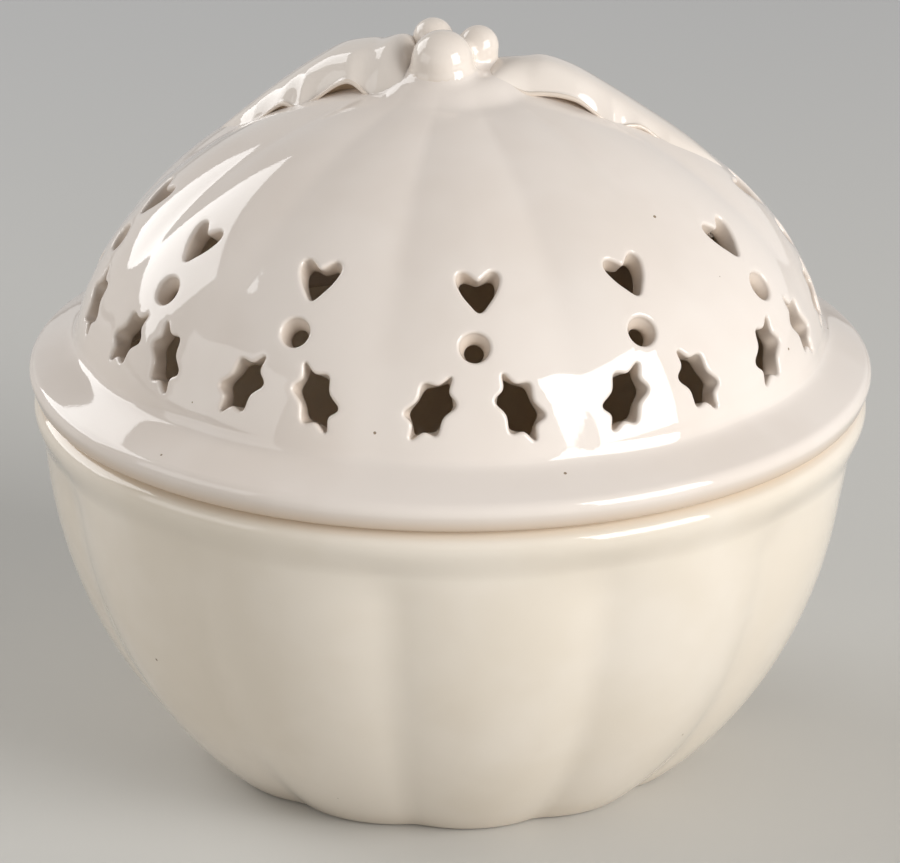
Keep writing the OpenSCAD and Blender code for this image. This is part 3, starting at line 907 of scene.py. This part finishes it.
bowl = make_bowl()
lid = make_lid()
leaf_left = make_leaf(
    "leaf_left_relief", math.radians(-115),
    ((6.5, 10.0, 0.0), (10.5, 11.2, 5.8), (17.0, 10.8, 7.8), (24.0, 10.6, 8.1), (31.0, 10.6, 6.0),
     (38.0, 9.6, 3.7), (44.0, 6.8, 1.8), (50.0, 1.0, 0.2)),
    ((12.5, 29.0, 0.4, 2.0, 0.36), (29.0, 40.0, 0.4, 0.5, 0.1)))
leaf_right = make_leaf(
    "leaf_right_relief", math.radians(90),
    ((7.5, 7.0, 0.0), (11.5, 7.8, 1.9), (16.5, 8.3, 6.3), (20.5, 8.5, 6.3), (25.5, 8.5, 5.6),
     (32.0, 8.5, 3.8), (39.0, 8.0, 2.3), (45.5, 6.4, 1.4), (51.5, 3.0, 0.8), (55.0, 0.6, 0.1)),
    ((8.5, 32.0, 0.66, 1.1, 0.4), (32.0, 43.5, 0.5, 0.0, 0.1)))
berry_front = make_berry("berry_front_ball", 1)
berry_right = make_berry("berry_right_ball", 2)
berry_back = make_berry("berry_back_ball", 3)

for piece, body, stands_for, slot in (
    (bowl, "bowl", "bowl", "bowl_glaze"),
    (lid, "lid", "lid", "lid_glaze"),
    (leaf_left, "lid", "leaf_left", "sprig_glaze"),
    (leaf_right, "lid", "leaf_right", "sprig_glaze"),
    (berry_front, "lid", "berry_front", "sprig_glaze"),
    (berry_right, "lid", "berry_right", "sprig_glaze"),
    (berry_back, "lid", "berry_back", "sprig_glaze"),
):
    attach(piece, body)
    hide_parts(stands_for)


# Stage, light and camera, in metres

FLOOR_R = 12.0
FLOOR_CORNERS = 96
LOOK_AT_Z = 0.0673
CAMERA_DISTANCE = 1.2
CAMERA_LENS = 233.76
LAMP_AIM_Z = 0.08


def make_floor():
    """Wide round pale floor, a little darker towards the back: painted shade for the light falling off."""
    mesh = bpy.data.meshes.new("floor")
    count = FLOOR_CORNERS
    rim = place(FLOOR_R, np.arange(count) * 2 * math.pi / count, 0.0)
    mesh.from_pydata([(0, 0, 0), *rim.tolist()], [], [(0, i + 1, (i + 1) % count + 1) for i in range(count)])
    finish, tree, surface = new_finish("floor_paper")
    along = node(tree, "SeparateXYZ", {"Vector": node(tree, "TexCoord").outputs["Object"]}).outputs["Y"]
    # Painted shade: the floor's colour darkens toward the back
    tree.links.new(mixed(tree, ramp(tree, along, 0.05, 0.75), colour(203, 201, 196), colour(187, 187, 187)),
                   surface.inputs["Base Color"])
    surface.inputs["Roughness"].default_value = 0.9
    surface.inputs["Specular IOR Level"].default_value = 0.1
    mesh.materials.append(finish)
    floor = bpy.data.objects.new("floor", mesh)
    bpy.context.scene.collection.objects.link(floor)


def make_softbox(name, turn, lift, distance, width, height, watts):
    """Rectangular lamp that looks at the middle of the vase; its turn from the front and its lift are in
    degrees."""
    lamp = bpy.data.lights.new(name, "AREA")
    lamp.shape = "RECTANGLE"
    lamp.size, lamp.size_y, lamp.energy = width, height, watts
    holder = bpy.data.objects.new(name, lamp)
    turn, lift = math.radians(turn), math.radians(lift)
    away = Vector((math.sin(turn) * math.cos(lift), -math.cos(turn) * math.cos(lift), math.sin(lift)))
    holder.location = Vector((0, 0, LAMP_AIM_Z)) + away * distance
    holder.rotation_euler = away.to_track_quat("Z", "Y").to_euler()
    bpy.context.scene.collection.objects.link(holder)


def make_world():
    """Even light from all round, brighter near the horizon than overhead."""
    world = bpy.data.worlds.new("studio")
    world.use_nodes = True
    tree = world.node_tree
    upward = node(tree, "SeparateXYZ", {"Vector": node(tree, "TexCoord").outputs["Generated"]}).outputs["Z"]
    tree.links.new(mixed(tree, ramp(tree, upward, 0.0, 1.0), colour(206, 206, 206), colour(134, 134, 134)),
                   tree.nodes["Background"].inputs["Color"])
    bpy.context.scene.world = world


def make_camera():
    """Camera of the photograph: its azimuth, elevation, roll and lens."""
    azimuth, elevation, roll = math.radians(-4.4), math.radians(20.96), math.radians(0.3)
    back = Vector((math.sin(azimuth) * math.cos(elevation), -math.cos(azimuth) * math.cos(elevation),
                   math.sin(elevation)))
    right = Vector((math.cos(azimuth), math.sin(azimuth), 0))
    up = back.cross(right)
    right, up = (right * math.cos(roll) + up * math.sin(roll), up * math.cos(roll) - right * math.sin(roll))
    data = bpy.data.cameras.new("camera")
    data.sensor_fit = "HORIZONTAL"
    data.sensor_width = 36
    data.lens = CAMERA_LENS
    data.clip_end = 20
    camera = bpy.data.objects.new("camera", data)
    camera.matrix_world = Matrix((
        (right.x, up.x, back.x, CAMERA_DISTANCE * back.x),
        (right.y, up.y, back.y, CAMERA_DISTANCE * back.y),
        (right.z, up.z, back.z, CAMERA_DISTANCE * back.z + LOOK_AT_Z),
        (0, 0, 0, 1),
    ))
    bpy.context.scene.collection.objects.link(camera)
    bpy.context.scene.camera = camera


make_floor()
make_softbox("key_softbox", 50.6, 19, 2.4, 1.4, 1.5, 55)
make_softbox("left_softbox", -129, 26.4, 2.4, 1.63, 1.37, 25.5)
make_softbox("left_card", -75, 14, 2.4, 1.6, 1.2, 8.5)
make_world()
make_camera()
bpy.context.scene.view_settings.view_transform = "Standard"
